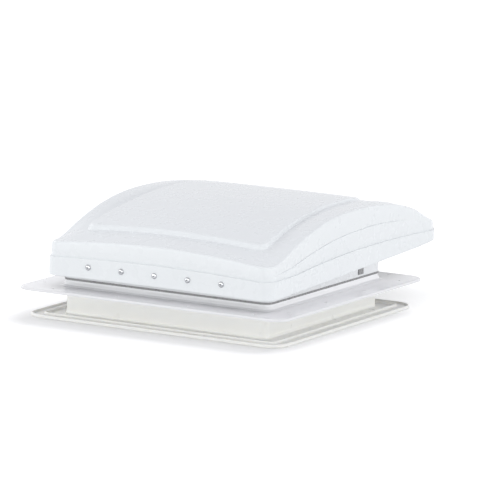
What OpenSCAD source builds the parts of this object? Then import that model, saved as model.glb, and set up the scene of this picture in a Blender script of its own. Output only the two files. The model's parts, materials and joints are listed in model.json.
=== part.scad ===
// Powered caravan roof vent: hinged domed lid, fan housing on a roof flange, and a sliding ceiling garnish.
// Frame: origin at the centre of the roof opening on the flange underside.
// X runs along the hinge, Y away from the hinge to the tail of the lid, Z up. Millimetres.

/* [Roof flange] */
// Width of the square mounting flange
flange_w = 450; // [446:1:460]
// Thickness of the mounting flange
flange_t = 4; // [3.5:0.5:5]
// Outer width of the raised curb and of the fan housing
curb_w = 350; // [348:1:352]
// Height of the curb above the roof
curb_h = 13; // [12.5:0.5:13.5]
// Radius of the roof screw holes
roof_hole_r = 2.25; // [2:0.25:2.5]

/* [Lid] */
// Outer width of the lid at its rim
lid_w = 378; // [376:1:382]
// Distance from the roof centre to the front face of the lid
lid_front = 204; // [203:0.5:206]
// Distance from the roof centre to the tail of the lid
lid_tail = 352; // [346:1:356]
// Thickness of the lid moulding
lid_t = 2.6; // [2.4:0.1:3]
// Spacing of the five lid screws
lid_screw_gap = 56; // [54:1:57]

/* [Garnish] */
// Width of the square ceiling garnish
garnish_w = 430; // [426:1:440]
// Level of the garnish flange below the roof
garnish_z = -39; // [-40:0.5:-38]

/* [Fan] */
// Inner radius of the fan ring
ring_r = 155; // [154:0.5:156]
// Gap between blade tips and ring
tip_gap = 4; // [3:0.5:6]
// Number of fan blades
blade_count = 10; // [8:1:11]

/* [Lift] */
// Teeth on the lift wheel
wheel_teeth = 24; // [24:1:24]
// Radius of the lift knob
knob_r = 18; // [16:0.5:20]

/* [Fits] */
// Gap each side between the nested square tubes
slide_gap = 0.8; // [0.6:0.1:1]
// Radial gap of a running fit
run_gap = 0.05; // [0.03:0.01:0.08]
// Gap between moving faces
move_gap = 0.3; // [0.3:0.05:0.5]

/* [Hidden] */
$fn = 48;

// Nested square tubes, as half widths from the outside in; the housing has room for the fan ring
hw = max(curb_w / 2, ring_r + 16);
fl = flange_w / 2;
wall = 3.2;
curb_in = hw - wall;
neck_half = curb_in - slide_gap;
neck_t = 2.4;
neck_in = neck_half - neck_t;
spigot_half = neck_in - slide_gap;
spigot_t = 2.2;
spigot_in = spigot_half - spigot_t;
curb_r = 15;

// Levels of the fixed parts
gasket_t = 3;
base_z = curb_h + gasket_t;
deck_t = 2.5;
deck_z = base_z + deck_t;
ring_top = base_z + 5;
wall_top = base_z + 22;
seal_top = wall_top + 6;
cover_top = -19.5;
cover_t = 2.5;
spigot_bottom = -30;
neck_top = curb_h - 3 - 0.2;

// Lid front, clear of the housing, and hinge axis
lid_f = max(lid_front, hw + 22);
hinge_y = -(lid_f - 11);
hinge_z = 32;
pin_r = 2.2;
knuckle_r = 5.5;
lid_in_y = -(lid_f - lid_t);
leaf_t = 2.5;
lid_screw_z = 41;

// Side fixing points
side_y = hw - 68;
side_z = base_z + 8.3;

// Lift: arm as long as the distance from hinge to pivot, so the arm turns twice the lid angle
worm_x = hw - 40;
worm_y = -(hw - 41);
worm_r = 5;
thread_e = 0.9;
thread_p = PI;
wheel_r = wheel_teeth * thread_p / (2 * PI);
pivot_y = worm_y + worm_r + wheel_r;
arm_len = pivot_y - hinge_y;
tip_y = pivot_y + arm_len;
arm_t = 5;
pivot_r = 3;
tip_r = 3;
shoe_x = worm_x + arm_t / 2 + 1.7;
shoe_w = 10.4;
shoe_h = 12.4;
track_in = shoe_h / 2 + move_gap;
track_t = 2;
track_y = pivot_y + 15.5;
track_len = tip_y + 25 - track_y;
cheek_in = worm_r + 2;
cheek_t = 3;
bracket_points = [[-14, -3], [14, -3], [14, 37]];
mesh_gap = 0.4;

// Lid plan
ax = max(lid_w / 2, hw + 8);
lid_rf = 24;
lid_rt = 44;
panel_half = ax - 37;
panel_y0 = -(lid_f - 52);
panel_y1 = lid_tail - 156;
frame_z = seal_top + 0.1;
frame_t = 3;
frame_back = 18 + lid_t;
track_x = ax - 15;
track_screw_y = [track_y + 6.5, track_y + 46.5];

// Fan
hub_r = 34;
shaft_r = 4;
tip_r_fan = ring_r - tip_gap;
ring_out = ring_r + 2.2;

// Controls below the cover
dial_x = -worm_x;
rocker_y = -worm_y;
screen_r = ring_r - 3;
clip_ring = screen_r + 9;
clip_angles = [30, 150, 210, 330];
net_gap = 15.6;
net_n = floor((screen_r - 11) / net_gap);

// Screw layouts
cover_screw = hw - 20;
roof_off = fl - 0.36 * (fl - hw);
roof_a = fl - 55;
roof_b = 60;
trim_half = garnish_w / 2;
trim_w = trim_half - neck_half;
trim_off = neck_half + trim_w * 13 / 44;
trim_a = trim_half - 90;
spider_ring = ring_r + 8;

// Rounded square with true arcs
module plate2d(half, r) {
    square([2 * half - 2 * r, 2 * half], center = true);
    square([2 * half, 2 * half - 2 * r], center = true);
    for (i = [-1, 1], j = [-1, 1]) translate([i * (half - r), j * (half - r)]) circle(r);
}

// Square tube between two levels
module tube_sq(half_out, r_out, half_in, r_in, z0, z1) {
    translate([0, 0, z0]) linear_extrude(z1 - z0) difference() {
        plate2d(half_out, r_out);
        plate2d(half_in, r_in);
    }
}

// Sweep a profile round a rounded square; the profile has x = 0 on the outer edge
module rim_sweep(half, r) {
    for (k = [0:3]) rotate(90 * k) {
        translate([half, half - r, 0]) rotate([90, 0, 0]) linear_extrude(2 * (half - r)) children();
        translate([half - r, half - r, 0]) rotate_extrude(angle = 90) translate([r, 0]) children();
    }
}

// Bar profile with a rounded top outer edge
module edge_profile(w, t, r) {
    translate([-w, 0]) square([w - r, t]);
    translate([-w, 0]) square([w, t - r]);
    translate([-r, t - r]) circle(r);
}

// Screw pointing along -Z with its head seat at z = 0 and a cross recess
module screw(len, r, head_r, head_h) {
    difference() {
        union() {
            translate([0, 0, -len]) cylinder(r = r, h = len + 0.5);
            cylinder(r = head_r, h = head_h * 0.55);
            translate([0, 0, head_h * 0.55]) cylinder(r1 = head_r, r2 = head_r * 0.72, h = head_h * 0.45);
        }
        for (a = [0, 90]) rotate(a) translate([-head_r * 0.55, -0.5, head_h * 0.4])
            cube([head_r * 1.1, 1, head_h]);
    }
}

// Lid height lines
function clamp01(t) = min(1, max(0, t));
function soft(t) = (t + sqrt(t * t + 0.004)) / 2;
function rise(y, a, l) = 1 - pow(1 - min(1, soft((y - a) / l)), 2.2);
function fall(y, a, l, p) = pow(max(0, y - a) / l, p);
function crown(x) = 1 - pow(x / ax, 2);
function lid_edge(x, y) = 22.5 + 2 * crown(x) + 0.04 * max(0, y + 170) + 5 * fall(y, 250, lid_tail - 246, 2);
function lid_step(x, y) = 50 + 20 * rise(y, -125, 225) - 12 * fall(y, 100, lid_tail - 96, 1.6) + 6 * crown(x);
function lid_shoulder(x, y) = 70 + 52 * rise(y, -165, 235) - 55 * fall(y, 75, lid_tail - 77, 2.3) + 7 * crown(x);
function lid_turn(x, y, f) = let (s = lid_step(x, y), h = lid_shoulder(x, y),
    c = s + (0.38 + 0.17 * clamp01((y + 130) / 130)) * (h - s)) c + f * (h - c);
function lid_panel(x, y) = 87.5 + 39 * rise(y, -165, 280) - 42 * fall(y, 115, lid_tail - 152, 1.8)
    + (5 - 4 * clamp01((y + 155) / 250)) * (1 - pow(x / panel_half, 2));

// Half outline of one lid ring, from the middle of the front to the middle of the tail
function ring_half(a, y0, y1, rf, rt) = concat(
    [for (i = [0:4]) [(a - rf) * i / 5, y0]],
    [for (i = [0:6]) [a - rf + rf * sin(90 * i / 7), y0 + rf - rf * cos(90 * i / 7)]],
    [for (i = [0:15]) [a, y0 + rf + (y1 - rt - y0 - rf) * i / 16]],
    [for (i = [0:7]) [a - rt + rt * cos(90 * i / 8), y1 - rt + rt * sin(90 * i / 8)]],
    [for (i = [0:4]) [(a - rt) * (1 - i / 4), y1]]);
function ring_full(h) = concat(h, [for (i = [len(h) - 2:-1:1]) [-h[i][0], h[i][1]]]);
function bow(p) = [p[0], p[1] + 8 * crown(p[0]) * clamp01((p[1] - 120) / 230)];
function lid_ring(d) = [for (p = ring_full(ring_half(ax - d, -lid_f + d, lid_tail - d,
    max(14, lid_rf - 0.6 * d), lid_rt - 0.4 * d))) bow(p)];
function panel_width(y) = 1 - 0.078 * (1 - pow(1 - clamp01((y + 155) / 245), 1.6));
function panel_drop(y) = 7 - 4 * clamp01((y + 150) / 330);
function panel_ring(d) = [for (p = ring_full(ring_half(panel_half - d, panel_y0 + d, panel_y1 - d, 16 - d / 2, 45 - d / 2)))
    bow([p[0] * panel_width(p[1]), p[1]])];
function blend(a, b, f) = [for (i = [0:len(a) - 1]) a[i] * (1 - f) + b[i] * f];
function shrink(r, f) = [for (p = r) [p[0] * f, 30 + (p[1] - 30) * f]];
function ring3(r, kind, f, dz) = [for (p = r) [p[0], p[1], dz +
    (kind == 0 ? lid_edge(p[0], p[1]) : kind == 1 ? lid_step(p[0], p[1]) :
     kind == 2 ? lid_turn(p[0], p[1], f) : kind == 3 ? lid_panel(p[0], p[1]) - f * panel_drop(p[1]) :
     (lid_shoulder(p[0], p[1]) + lid_panel(p[0], p[1]) - panel_drop(p[1])) / 2 + 1)]];
function lid_outer() = [
    ring3(lid_ring(0), 0, 0, 0), ring3(lid_ring(0), 1, 0, -1.6), ring3(lid_ring(1.6), 1, 0, 0),
    ring3(lid_ring(2.2), 2, 0, 0), ring3(lid_ring(3), 2, 0.45, 0), ring3(lid_ring(4.2), 2, 0.84, 0),
    ring3(lid_ring(8.5), 2, 1, 0), ring3(blend(lid_ring(8.5), panel_ring(0), 0.5), 4, 0, 0),
    ring3(panel_ring(0), 3, 1, 0), ring3(panel_ring(2.4), 3, 0.16, 0), ring3(panel_ring(5.5), 3, 0, 0),
    ring3(shrink(panel_ring(5.5), 0.75), 3, 0, 0), ring3(shrink(panel_ring(5.5), 0.45), 3, 0, 0),
    ring3(shrink(panel_ring(5.5), 0.15), 3, 0, 0)];
function lid_inner() = [
    ring3(lid_ring(lid_t), 0, 0, 0), ring3(lid_ring(lid_t), 1, 0, -2.6),
    ring3(lid_ring(lid_t + 2.2), 2, 0, -1), ring3(lid_ring(lid_t + 4.2), 2, 0.82, -2),
    ring3(lid_ring(lid_t + 8.5), 2, 1, -2.8), ring3(blend(lid_ring(lid_t + 8.5), panel_ring(3), 0.5), 4, 0, -2.8),
    ring3(panel_ring(3), 3, 1, -2.6), ring3(panel_ring(6), 3, 0.16, -3), ring3(panel_ring(9.5), 3, 0, -2.8),
    ring3(shrink(panel_ring(9.5), 0.6), 3, 0, -2.8), ring3(shrink(panel_ring(9.5), 0.2), 3, 0, -2.8)];

// Triangles between ring k and ring k + 1 of n points each
function ring_faces(k, n, flip) = [for (i = [0:n - 1], t = [0, 1]) let (j = (i + 1) % n,
    a = k * n + i, b = k * n + j, c = (k + 1) * n + j, d = (k + 1) * n + i)
    t == 0 ? (flip ? [a, b, c] : [c, b, a]) : (flip ? [a, c, d] : [d, c, a])];

module lid_body() {
    outer = lid_outer();
    inner = lid_inner();
    n = len(outer[0]);
    mo = len(outer);
    mi = len(inner);
    points = concat([for (r = outer, p = r) p], [for (r = inner, p = r) p],
        [[0, 30, lid_panel(0, 30)], [0, 30, lid_panel(0, 30) - 2.8]]);
    top = n * (mo + mi);
    first = n * mo;
    faces = concat(
        [for (k = [0:mo - 2], f = ring_faces(k, n, false)) f],
        [for (i = [0:n - 1]) [(mo - 1) * n + (i + 1) % n, (mo - 1) * n + i, top]],
        [for (k = [mo:mo + mi - 2], f = ring_faces(k, n, true)) f],
        [for (i = [0:n - 1]) [(mo + mi - 1) * n + i, (mo + mi - 1) * n + (i + 1) % n, top + 1]],
        [for (i = [0:n - 1], t = [0, 1]) let (j = (i + 1) % n)
            t == 0 ? [i, j, first + j] : [i, first + j, first + i]]);
    polyhedron(points, faces, convexity = 6);
}

module lid_shell() {
    color("#f4f6f8") difference() {
        lid_body();
        for (i = [-2:2]) translate([i * lid_screw_gap, -lid_f - 1, lid_screw_z])
            rotate([-90, 0, 0]) cylinder(r = 2.2, h = lid_t + 2);
    }
}

module lid_screws() {
    color("#b8bcc0") for (i = [-2:2]) translate([i * lid_screw_gap, -lid_f, lid_screw_z])
        rotate([90, 0, 0]) screw(11, 2, 4.4, 2.4);
}

module hinge_lid_leaf() {
    color("#9aa0a5") difference() {
        union() {
            translate([-130, lid_in_y, 26]) cube([260, leaf_t, 18]);
            for (s = [[-116, -70.5], [-27.5, 27.5], [70.5, 116]]) translate([s[0], 0, 0]) {
                translate([0, hinge_y, hinge_z]) rotate([0, 90, 0]) cylinder(r = knuckle_r, h = s[1] - s[0]);
                translate([0, lid_in_y + 1, hinge_z - 4]) cube([s[1] - s[0], hinge_y - lid_in_y, 8]);
            }
        }
        for (i = [-2:2]) translate([i * lid_screw_gap, lid_in_y - 1, lid_screw_z])
            rotate([-90, 0, 0]) cylinder(r = 2, h = leaf_t + 2);
        translate([-140, hinge_y, hinge_z]) rotate([0, 90, 0]) cylinder(r = pin_r + run_gap, h = 280);
    }
}

module hinge_base_leaf() {
    color("#9aa0a5") difference() {
        union() {
            translate([-88, -hw - leaf_t, base_z + 6]) cube([176, leaf_t, 16]);
            for (s = [[-70, -28], [28, 70]]) translate([s[0], 0, 0]) {
                translate([0, hinge_y, hinge_z]) rotate([0, 90, 0]) cylinder(r = knuckle_r, h = s[1] - s[0]);
                translate([0, hinge_y, hinge_z - 3]) cube([s[1] - s[0], -hw - 1 - hinge_y, 6]);
            }
        }
        translate([-100, hinge_y, hinge_z]) rotate([0, 90, 0]) cylinder(r = pin_r, h = 200);
        for (x = [-80, -14, 14, 80]) translate([x, -hw - leaf_t - 1, base_z + 14])
            rotate([-90, 0, 0]) cylinder(r = 1.8, h = leaf_t + 2);
    }
}

module base_leaf_screws() {
    color("#b8bcc0") for (x = [-80, -14, 14, 80]) translate([x, -hw - leaf_t, base_z + 14])
        rotate([90, 0, 0]) screw(9, 1.8, 3.6, 1.8);
}

module hinge_pin() {
    color("#c4c8cc") {
        translate([-118, hinge_y, hinge_z]) rotate([0, 90, 0]) cylinder(r = pin_r, h = 236);
        for (x = [-119.8, 117.8]) translate([x, hinge_y, hinge_z]) rotate([0, 90, 0])
            cylinder(r = 3.6, h = 2);
    }
}

module lid_frame() {
    color("#e4e7ea") translate([0, 0, frame_z]) linear_extrude(frame_t) difference() {
        translate([0, -1]) plate2d(ax - lid_t, 14);
        plate2d(hw - 11, 12);
        translate([-ax - 11, -lid_f - ax]) square([2 * ax + 22, ax + frame_back]);
        for (s = [-1, 1], y = track_screw_y) translate([s * track_x, y]) circle(1.7);
    }
}

module lift_track() {
    x1 = shoe_x + shoe_w + 0.4;
    color("#c9ccd0") difference() {
        union() {
            translate([x1, track_y, hinge_z - track_in - track_t])
                cube([3, track_len, frame_z + frame_t + 3 - hinge_z + track_in + track_t]);
            translate([x1, track_y, frame_z + frame_t]) cube([ax - lid_t - 6 - x1, track_len, 3]);
            for (z = [hinge_z + track_in, hinge_z - track_in - track_t])
                translate([shoe_x - 0.2, track_y, z]) cube([x1 - shoe_x + 1, track_len, track_t]);
        }
        for (y = track_screw_y) translate([track_x, y, frame_z]) cylinder(r = 1.7, h = 10);
    }
}

module track_screws() {
    color("#b8bcc0") for (y = track_screw_y) translate([track_x, y, frame_z + frame_t + 3]) screw(5.9, 1.7, 3.4, 1.8);
}

module lift_shoe() {
    color("#2c2e31") difference() {
        translate([shoe_x, 0, 0]) rotate([90, 0, 90]) linear_extrude(shoe_w) difference() {
            union() {
                translate([tip_y - 8, hinge_z - shoe_h / 2]) square([16, shoe_h]);
                for (s = [-1, 1]) translate([tip_y + s * 8, hinge_z]) circle(shoe_h / 2);
            }
            translate([tip_y, hinge_z]) circle(tip_r + run_gap);
        }
    }
}

// Wheel outline with rounded teeth, gap facing the worm at rest
function wheel_pts() = [for (i = [0:wheel_teeth * 10 - 1]) let (a = 360 * i / (wheel_teeth * 10),
    r = wheel_r - mesh_gap - thread_e * cos(wheel_teeth * (a - 180))) [r * cos(a), r * sin(a)]];

module lift_arm() {
    color("#d8dadd") translate([worm_x - arm_t / 2, 0, 0]) rotate([90, 0, 90]) {
        linear_extrude(arm_t) translate([pivot_y, hinge_z]) difference() {
            union() {
                polygon(wheel_pts());
                translate([0, -6]) square([arm_len, 12]);
                translate([arm_len, 0]) circle(6);
            }
            circle(pivot_r + run_gap);
            for (k = [0:2]) translate([20 + 15 * k, 0]) circle(3.2);
        }
        translate([tip_y, hinge_z]) cylinder(r = tip_r, h = shoe_x - worm_x + arm_t / 2 + shoe_w - 0.2);
    }
}

module pivot_pin() {
    half = cheek_in + cheek_t + 1.5;
    color("#c4c8cc") translate([worm_x - half, pivot_y, hinge_z]) rotate([0, 90, 0]) {
        cylinder(r = pivot_r, h = 2 * half);
        translate([0, 0, -1.5]) cylinder(r = 4.8, h = 1.5);
    }
}

module lift_bracket() {
    y0 = worm_y - 9;
    color("#8f959a") difference() {
        union() {
            translate([worm_x - 11, y0, deck_z]) cube([29, 40, 2]);
            translate([worm_x - 18, y0, deck_z]) cube([8, 16, 2]);
            translate([worm_x + cheek_in, y0, deck_z]) cube([18 - cheek_in, 52, 2]);
            for (s = [-1, 1]) translate([worm_x + s * (cheek_in + cheek_t / 2) - cheek_t / 2, y0, deck_z])
                cube([cheek_t, 40, hinge_z + 13.5 - deck_z]);
            for (s = [0, 180]) translate([worm_x, pivot_y, hinge_z]) rotate([0, 90, s])
                translate([0, 0, arm_t / 2 + move_gap]) cylinder(r = 5, h = cheek_in + 0.5 - arm_t / 2 - move_gap);
            translate([worm_x - cheek_in - cheek_t, y0, hinge_z + 11]) cube([2 * (cheek_in + cheek_t), 15, 3]);
        }
        translate([worm_x - 5, pivot_y - 15, deck_z - 1]) cube([10, 34, 4]);
        translate([worm_x - 12, pivot_y, hinge_z]) rotate([0, 90, 0]) cylinder(r = pivot_r, h = 24);
        translate([worm_x, worm_y, deck_z - 1]) cylinder(r = 3.6 + run_gap, h = 4);
        translate([worm_x, worm_y, hinge_z + 10]) cylinder(r = 3 + run_gap, h = 6);
        for (p = bracket_points) translate([worm_x + p[0], worm_y + p[1], deck_z - 1]) cylinder(r = 1.7, h = 4);
        for (s = [-1, 1]) translate([worm_x + s * (cheek_in + cheek_t / 2) - cheek_t, y0 + 40, hinge_z + 14])
            rotate([0, 90, 0]) cylinder(r = 13, h = 2 * cheek_t);
    }
}

module bracket_screws() {
    color("#b8bcc0") for (p = bracket_points)
        translate([worm_x + p[0], worm_y + p[1], deck_z + 2]) screw(8, 1.7, 3.2, 1.8);
}

module worm_shaft() {
    color("#e6e3da") translate([worm_x, worm_y, 0]) {
        translate([0, 0, -36]) cylinder(r = 3.6, h = 36 + hinge_z - 8);
        translate([0, 0, hinge_z - 9]) rotate(90 - 360 * 9 / thread_p)
            linear_extrude(height = 18, twist = -360 * 18 / thread_p, slices = 72)
            translate([thread_e, 0]) circle(worm_r, $fn = 12);
        translate([0, 0, hinge_z + 8]) cylinder(r = 3, h = 7);
    }
}

module lift_knob() {
    top = cover_top - cover_t - 0.8;
    color("#eceae4") translate([worm_x, worm_y, 0]) difference() {
        union() {
            translate([0, 0, top - 4]) cylinder(r = knob_r, h = 4);
            translate([0, 0, top - 15]) cylinder(r1 = knob_r - 4, r2 = knob_r - 2, h = 12);
            for (a = [0:30:330]) rotate(a) translate([knob_r - 4, 0, top - 14]) cylinder(r = 2.4, h = 11);
        }
        translate([0, 0, top - 15 - 1]) cylinder(r1 = knob_r - 7, r2 = knob_r - 9, h = 3);
        translate([0, 0, -36]) cylinder(r = 3.6, h = 20);
    }
}

module mounting_flange() {
    color("#f1f0f6") difference() {
        union() {
            rim_sweep(fl, 25) edge_profile(20, flange_t, 2);
            linear_extrude(flange_t) plate2d(fl - 18, 7);
            linear_extrude(curb_h) plate2d(hw, curb_r);
            rim_sweep(hw + 6, curb_r + 6) polygon([[-8, 1], [0, 1], [0, flange_t], [-4, flange_t + 2],
                [-6, flange_t + 6], [-8, flange_t + 6]]);
            for (i = [-1, 1], j = [-1, 1]) translate([i * (hw - 5.4), j * side_y, curb_h - 3])
                linear_extrude(3) square([10.8, 22], center = true);
            for (i = [-1, 1], j = [-1, 1]) translate([i * (curb_in - 2), j * side_y, curb_h - 1])
                linear_extrude(18) square([3.2, 22], center = true);
        }
        translate([0, 0, -1]) linear_extrude(curb_h - 2) plate2d(curb_in, 11);
        translate([0, 0, -1]) linear_extrude(curb_h + 2) difference() {
            plate2d(curb_in, 11);
            for (i = [-1, 1], j = [-1, 1]) translate([i * (hw - 5.4), j * side_y]) square([10.8, 22], center = true);
        }
        for (i = [-1, 1], j = [-1, 1], a = [roof_a, roof_b]) {
            translate([i * a, j * roof_off, -1]) cylinder(r = roof_hole_r, h = 10);
            translate([i * roof_off, j * a, -1]) cylinder(r = roof_hole_r, h = 10);
        }
        for (i = [-1, 1], j = [-1, 1]) translate([i * (curb_in - 2), j * side_y, side_z]) rotate([0, 90, 0])
            cylinder(r = 2, h = 20, center = true);
    }
}

module housing_gasket() {
    color("#1c1d1f") tube_sq(hw + 0.6, curb_r + 0.6, curb_in + 0.4, 11, curb_h, base_z);
}

// Recess with a screw hole in the side wall of the housing
module side_pocket(cut) {
    translate([0, 0, side_z]) {
        translate([hw - 2.2, -8.5, -5.3]) cube([5, 17, 10.6]);
        translate([hw - 10, 0, 0]) rotate([0, 90, 0]) cylinder(r = 2.15, h = 20);
    }
}

module fan_housing() {
    color("#eef0f3") difference() {
        union() {
            tube_sq(hw, curb_r, curb_in, 11.8, base_z, wall_top);
            tube_sq(spigot_half, 8, spigot_in, 6, spigot_bottom, base_z + 1);
            translate([0, 0, base_z]) linear_extrude(deck_t) plate2d(hw - 1, 14);
            for (k = [0:3]) rotate(90 * k) {
                translate([cover_screw, cover_screw, cover_top]) cylinder(r = 6, h = base_z - cover_top + 1);
                rotate(45) translate([spider_ring, 0, base_z - 6]) cylinder(r = 4.6, h = 7);
                if (k != 3) rotate(45) translate([ring_r + 19, -1.2, deck_z - 1]) cube([hw - ring_r + 24, 2.4, 7]);
            }
        }
        translate([0, 0, base_z - 1]) cylinder(r = ring_out + move_gap, h = deck_t + 2);
        for (s = [0, 180], j = [-1, 1]) rotate(s) translate([0, j * side_y, 0]) side_pocket();
        for (i = [-1, 1], j = [-1, 1]) translate([i * (curb_in - 2), j * side_y, base_z - 0.5])
            linear_extrude(deck_t + 1) square([4.4, 23.2], center = true);
        for (i = [-1, 1], j = [-1, 1]) translate([i * (curb_in - 6), j * side_y, curb_h - 4])
            linear_extrude(8) square([12.4, 23.2], center = true);
        for (i = [-1, 1], j = [-1, 1]) translate([i * cover_screw, j * cover_screw, cover_top - 1])
            cylinder(r = 1.7, h = 18);
        for (k = [0:3]) rotate(90 * k + 45) translate([spider_ring, 0, 2]) cylinder(r = 1.7, h = 30);
        for (x = [-80, -14, 14, 80]) translate([x, -hw - 1, base_z + 14]) rotate([-90, 0, 0])
            cylinder(r = 1.8, h = wall + 2);
        translate([worm_x, worm_y, base_z - 1]) cylinder(r = 4.2, h = 5);
        for (p = bracket_points) translate([worm_x + p[0], worm_y + p[1], base_z - 1]) cylinder(r = 1.7, h = 6);
    }
}

// Ring round the fan, dropped into the housing's deck and held by the screws of the motor carrier
module fan_ring() {
    color("#eef0f3") difference() {
        union() {
            translate([0, 0, cover_top]) cylinder(r = ring_out, h = ring_top - cover_top);
            translate([0, 0, deck_z]) cylinder(r = ring_r + 5, h = ring_top - deck_z);
            for (k = [0:3]) rotate(90 * k + 45) translate([spider_ring, 0, deck_z])
                cylinder(r = 6, h = ring_top - deck_z);
        }
        translate([0, 0, cover_top - 1]) cylinder(r = ring_r, h = ring_top - cover_top + 2);
        translate([0, 0, ring_top - 3]) cylinder(r1 = ring_r - 0.5, r2 = ring_r + 3.5, h = 4);
        for (k = [0:3]) rotate(90 * k + 45) translate([spider_ring, 0, deck_z - 1]) cylinder(r = 1.7, h = 6);
    }
}

module side_screws() {
    color("#6f7479") for (s = [0, 180], j = [-1, 1]) rotate(s) translate([hw - 2.2, j * side_y, side_z])
        rotate([0, 90, 0]) screw(7, 2, 4, 1.2);
}

module side_plugs() {
    color("#17181a") for (s = [0, 180], j = [-1, 1]) rotate(s) translate([hw - 0.95, j * side_y, side_z]) {
        translate([0, -8.5, -5.3]) cube([1.4, 17, 10.6]);
        translate([1.3, -7.5, -4.3]) cube([0.8, 15, 8.6]);
    }
}

module lid_seal() {
    color("#1c1d1f") translate([0, 0, wall_top]) rim_sweep(hw, curb_r) {
        translate([-wall, 0]) square([wall, 2]);
        translate([-wall / 2, 3]) difference() {
            circle(3);
            circle(1.8);
        }
    }
}

module motor_spider() {
    color("#3a3d41") difference() {
        union() {
            translate([0, 0, ring_top]) cylinder(r = 37, h = 6);
            for (k = [0:3]) rotate(45 + 90 * k) {
                translate([30, -7, ring_top]) cube([spider_ring - 30, 14, 3]);
                translate([spider_ring, 0, ring_top]) cylinder(r = 7, h = 3);
                translate([33, -1.5, ring_top]) cube([spider_ring - 48, 3, 6]);
            }
        }
        translate([0, 0, ring_top - 1]) cylinder(r = 9, h = 8);
        for (k = [0:3]) rotate(45 + 90 * k) translate([spider_ring, 0, ring_top - 1]) cylinder(r = 1.7, h = 5);
        for (k = [0:2]) rotate(120 * k) translate([24, 0, ring_top - 1]) cylinder(r = 2, h = 8);
    }
}

module spider_screws() {
    color("#b8bcc0") for (k = [0:3]) rotate(45 + 90 * k) translate([spider_ring, 0, ring_top + 3])
        screw(11, 1.7, 3.6, 2);
}

module motor() {
    z0 = ring_top + 6;
    color("#75797e") difference() {
        union() {
            translate([0, 0, z0]) cylinder(r = 33, h = 4);
            translate([0, 0, z0 + 4]) cylinder(r = 31, h = 44);
            translate([0, 0, z0 + 48]) cylinder(r1 = 31, r2 = 27, h = 4);
            translate([0, 0, z0 + 52]) cylinder(r = 10, h = 4);
            for (s = [-1, 1]) translate([s * 20 - 2, -3, z0 + 51]) cube([4, 6, 7]);
        }
        translate([0, 0, z0 - 1]) cylinder(r = shaft_r + run_gap, h = 17);
        for (a = [0:30:330]) rotate(a) translate([31, 0, z0 + 14]) rotate([0, 90, 0])
            cylinder(r = 3, h = 3, center = true);
        for (k = [0:2]) rotate(120 * k) translate([24, 0, z0 - 1]) cylinder(r = 2, h = 9);
    }
}

module motor_screws() {
    color("#b8bcc0") for (k = [0:2]) rotate(120 * k) translate([24, 0, ring_top]) rotate([180, 0, 0])
        screw(12, 2, 3.8, 2.2);
}

// One fan blade: arc sections that untwist from root to tip
function blade_pts() = let (ns = 6, nc = 5) [for (j = [0:ns - 1]) let (f = j / (ns - 1),
    r = hub_r - 2.2 + (tip_r_fan - hub_r + 1.2) * f, chord = 44 + 34 * f - 14 * f * f, pitch = 38 - 22 * f,
    sweep = 18 * f * f) each [for (i = [0:2 * nc - 1]) let (k = i < nc ? i : 2 * nc - 1 - i, u = k / (nc - 1),
        c = (u - 0.5) * chord, m = 5.5 * (1 - pow(2 * u - 1, 2)) + (i < nc ? 1 : -1) * (0.6 + 2.8 * u * (1 - u)),
        t = c * cos(pitch) - m * sin(pitch) + sweep, z = c * sin(pitch) * 0.72 + m * cos(pitch) - 2)
        [sqrt(max(1, r * r - t * t * 0.98)), t, z]]];

module blade() {
    p = blade_pts();
    n = 10;
    m = len(p) / n;
    polyhedron(p, concat(
        [for (k = [0:m - 2], f = ring_faces(k, n, true)) f],
        [for (i = [1:n - 2]) [0, i + 1, i]],
        [for (i = [1:n - 2]) [(m - 1) * n, (m - 1) * n + i, (m - 1) * n + i + 1]]), convexity = 4);
}

module fan_rotor() {
    color("#26282b") difference() {
        union() {
            difference() {
                translate([0, 0, -16]) cylinder(r = hub_r, h = 27);
                translate([0, 0, -17]) cylinder(r = hub_r - 3, h = 24);
            }
            translate([0, 0, -14]) cylinder(r = 9, h = 22);
            for (a = [0:60:300]) rotate(a) translate([8, -1, -12]) cube([hub_r - 10, 2, 20]);
            for (k = [0:blade_count - 1]) rotate(360 * k / blade_count + 9) blade();
        }
        translate([0, 0, -20]) cylinder(r = shaft_r, h = 40);
    }
}

module fan_shaft() {
    color("#c4c8cc") difference() {
        translate([0, 0, -17.5]) cylinder(r = shaft_r, h = ring_top + 6 + 14 + 17.5);
        translate([0, 0, -15.6]) difference() {
            cylinder(r = 6, h = 1.2);
            translate([0, 0, -1]) cylinder(r = 3, h = 4);
        }
    }
}

module fan_clip() {
    color("#6f7479") translate([0, 0, -15.5]) linear_extrude(1) difference() {
        circle(7.5);
        circle(3.05);
        translate([0, -2]) square([10, 4]);
    }
}

module inner_cover() {
    color("#f0ede4") difference() {
        union() {
            translate([0, 0, cover_top - cover_t]) linear_extrude(cover_t) plate2d(spigot_in - 0.6, 5);
            translate([0, 0, cover_top - cover_t]) difference() {
                cylinder(r = screen_r - 9, h = cover_t + 3.5);
                translate([0, 0, -1]) cylinder(r = screen_r - 11, h = cover_t + 6);
            }
        }
        translate([0, 0, cover_top - cover_t - 1]) cylinder(r = screen_r - 11, h = 10);
        translate([worm_x, worm_y, cover_top - 5]) cylinder(r = 4.2, h = 10);
        translate([dial_x, worm_y, cover_top - 5]) cylinder(r = 4.2, h = 10);
        translate([dial_x, rocker_y, cover_top - 5]) linear_extrude(10) square([22.6, 14.6], center = true);
        for (i = [-1, 1], j = [-1, 1]) translate([i * cover_screw, j * cover_screw, cover_top - 5])
            cylinder(r = 1.9, h = 10);
        for (a = clip_angles) rotate(a) translate([clip_ring, 0, cover_top - 5]) cylinder(r = 2.1, h = 10);
    }
}

module cover_screws() {
    color("#d5d7d9") for (i = [-1, 1], j = [-1, 1])
        translate([i * cover_screw, j * cover_screw, cover_top - cover_t]) rotate([180, 0, 0])
        screw(14, 1.7, 4, 2);
}

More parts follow.
